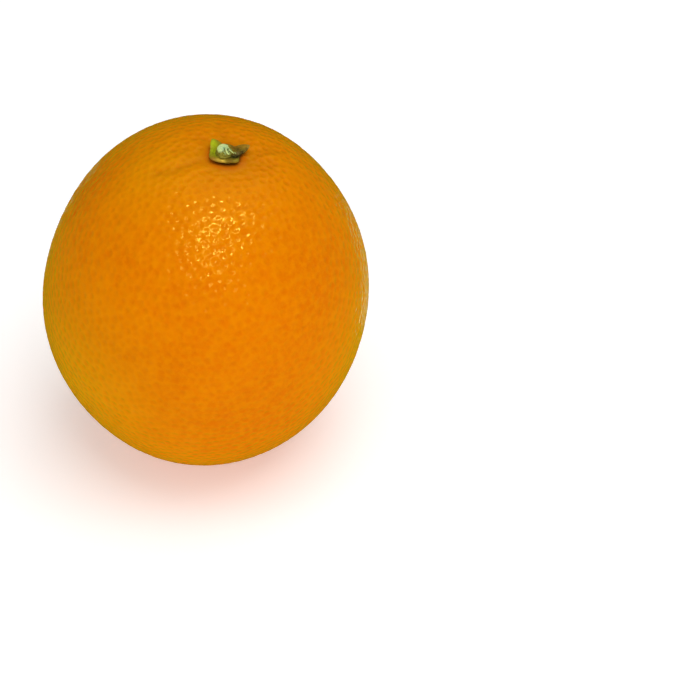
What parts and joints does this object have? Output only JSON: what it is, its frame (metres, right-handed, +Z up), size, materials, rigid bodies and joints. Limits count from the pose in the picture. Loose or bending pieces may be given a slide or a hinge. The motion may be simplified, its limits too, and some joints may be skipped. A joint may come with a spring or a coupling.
{
  "type": "orange",
  "caption": "Whole sweet orange with a pitted rind, a small green calyx and a short cut stem, resting on a small flat spot at its blossom end.",
  "frame": {"origin": "centre of the outline on the surface that the fruit rests on, under the small flat spot", "axes": "+Z up; +X to the right and -Y towards the viewer of the picture; the stem leans 9 degrees towards +X and a little towards -Y"},
  "size_m": [0.0726, 0.0722, 0.0826],
  "materials": {
    "peel": "waxy, pitted rind, semi-gloss",
    "calyx": "matt green sepals with dry brown tips",
    "cut_stem": "matt, freshly cut"
  },
  "bodies": {
    "root": {"fruit": "peel", "calyx": "calyx", "stem_stub": "cut_stem"}
  },
  "joints": []
}
